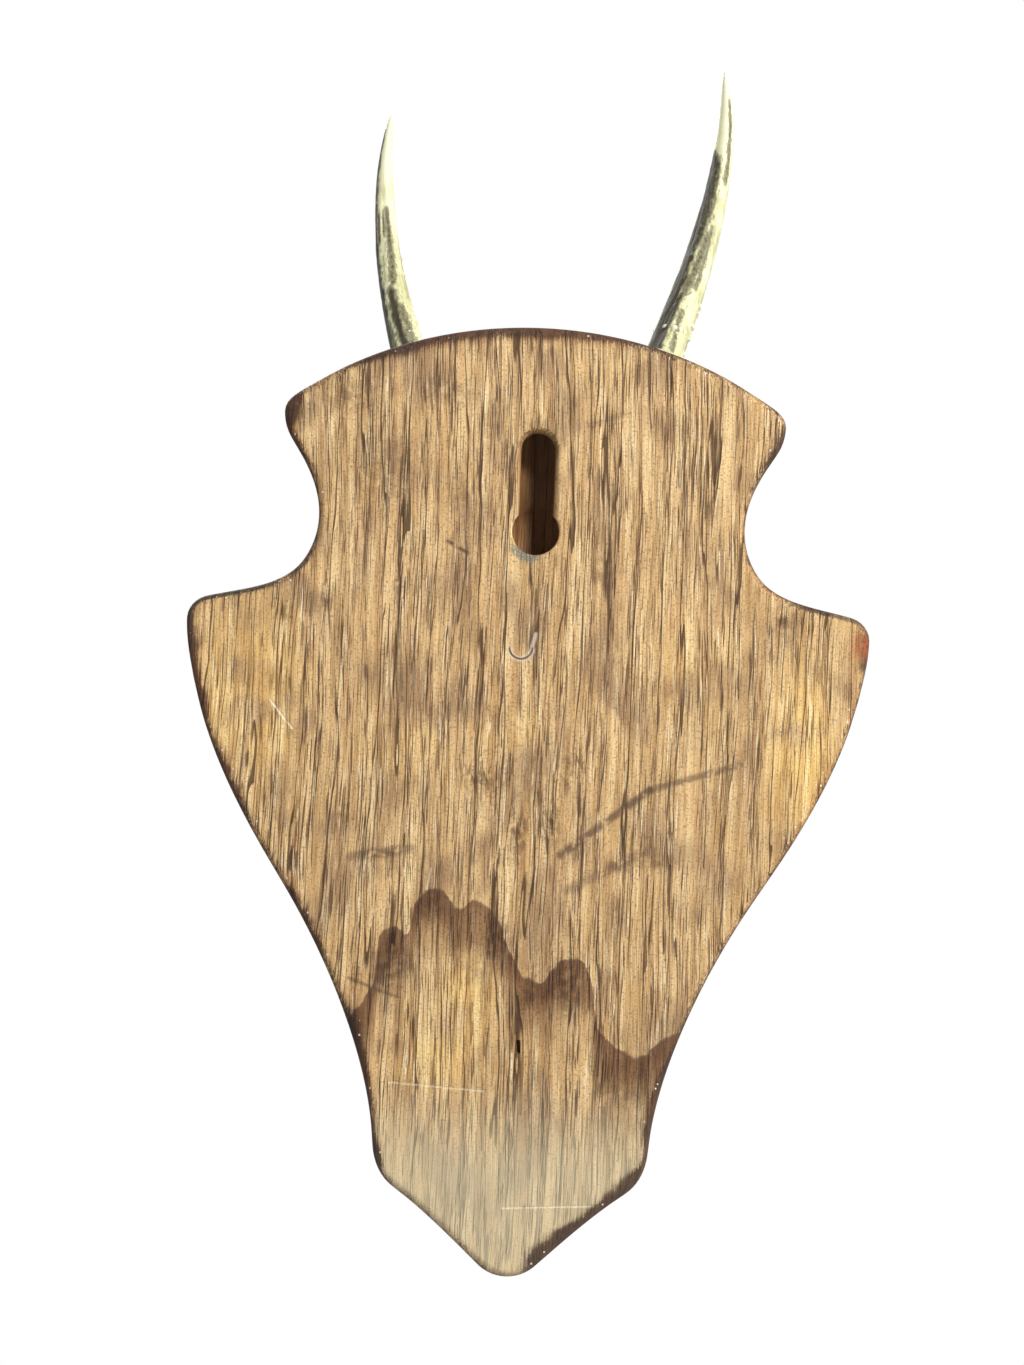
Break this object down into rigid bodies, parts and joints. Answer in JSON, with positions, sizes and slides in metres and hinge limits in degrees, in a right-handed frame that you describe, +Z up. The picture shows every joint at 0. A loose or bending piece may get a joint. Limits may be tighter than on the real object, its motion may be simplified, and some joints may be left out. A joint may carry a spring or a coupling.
{
  "type": "deer antler wall mount",
  "caption": "Deer antlers on their sawn skull plate, screwed to a shield-shaped wooden wall board with a keyhole hanger in its back.",
  "frame": {"origin": "where the hanger sits: the middle of the round top end of the keyhole slot, in the plane of the board's back", "axes": "+Z up along the board, +Y out of the back into the wall, -Y out into the room, +X to the deer's left"},
  "size_m": [0.201, 0.0813, 0.3783],
  "materials": {
    "stained_oak": "matte",
    "bone": "matte",
    "antler": "satin",
    "brass_screw": "satin"
  },
  "bodies": {
    "root": {"shield_board": "stained_oak", "skull_plate": "bone", "antler_left": "antler", "antler_right": "antler", "screw_top": "brass_screw", "screw_left": "brass_screw", "screw_right": "brass_screw"}
  },
  "joints": []
}
